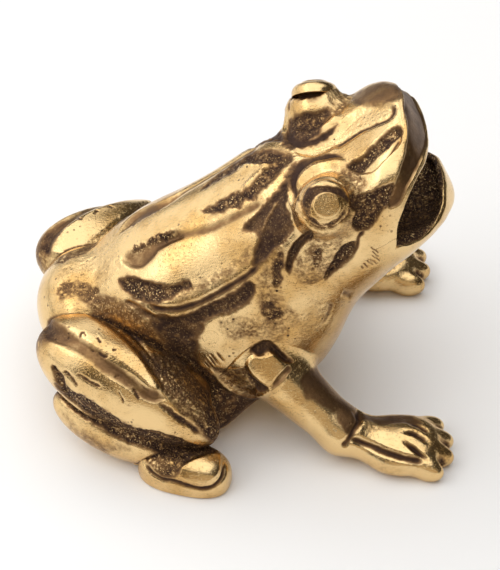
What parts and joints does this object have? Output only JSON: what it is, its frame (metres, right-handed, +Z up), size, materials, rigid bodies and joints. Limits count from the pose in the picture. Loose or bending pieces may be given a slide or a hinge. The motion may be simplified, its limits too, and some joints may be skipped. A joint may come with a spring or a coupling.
{
  "type": "frog figurine",
  "caption": "Hollow cast brass frog ornament, sitting up on its forelegs with its head raised and mouth wide open.",
  "frame": {"origin": "middle of the figure's box, on the floor that it stands on", "axes": "+Z up, the frog faces -Y, its right side is -X"},
  "size_m": [0.096, 0.1108, 0.0917],
  "materials": {
    "cast_brass": "antiqued: polished high places, dark brown patina and rough cast grain in the recesses",
    "dowel_brass": "drawn brass rod"
  },
  "bodies": {
    "root": {"ankle_dowels": "dowel_brass", "belly_plug": "cast_brass", "core_pin_plugs": "cast_brass", "eye_left": "cast_brass", "eye_right": "cast_brass", "forefoot_left": "cast_brass", "forefoot_right": "cast_brass", "foreleg_left": "cast_brass", "foreleg_right": "cast_brass", "head_shell": "cast_brass", "hind_foot_left": "cast_brass", "hind_foot_right": "cast_brass", "hip_dowels": "dowel_brass", "jaw_dowels": "dowel_brass", "knee_dowels": "dowel_brass", "lower_jaw": "cast_brass", "neck_dowels": "dowel_brass", "shank_left": "cast_brass", "shank_right": "cast_brass", "shoulder_dowels": "dowel_brass", "thigh_left": "cast_brass", "thigh_right": "cast_brass", "throat_dowel": "dowel_brass", "torso_shell": "cast_brass", "wrist_dowels": "dowel_brass"}
  },
  "joints": []
}
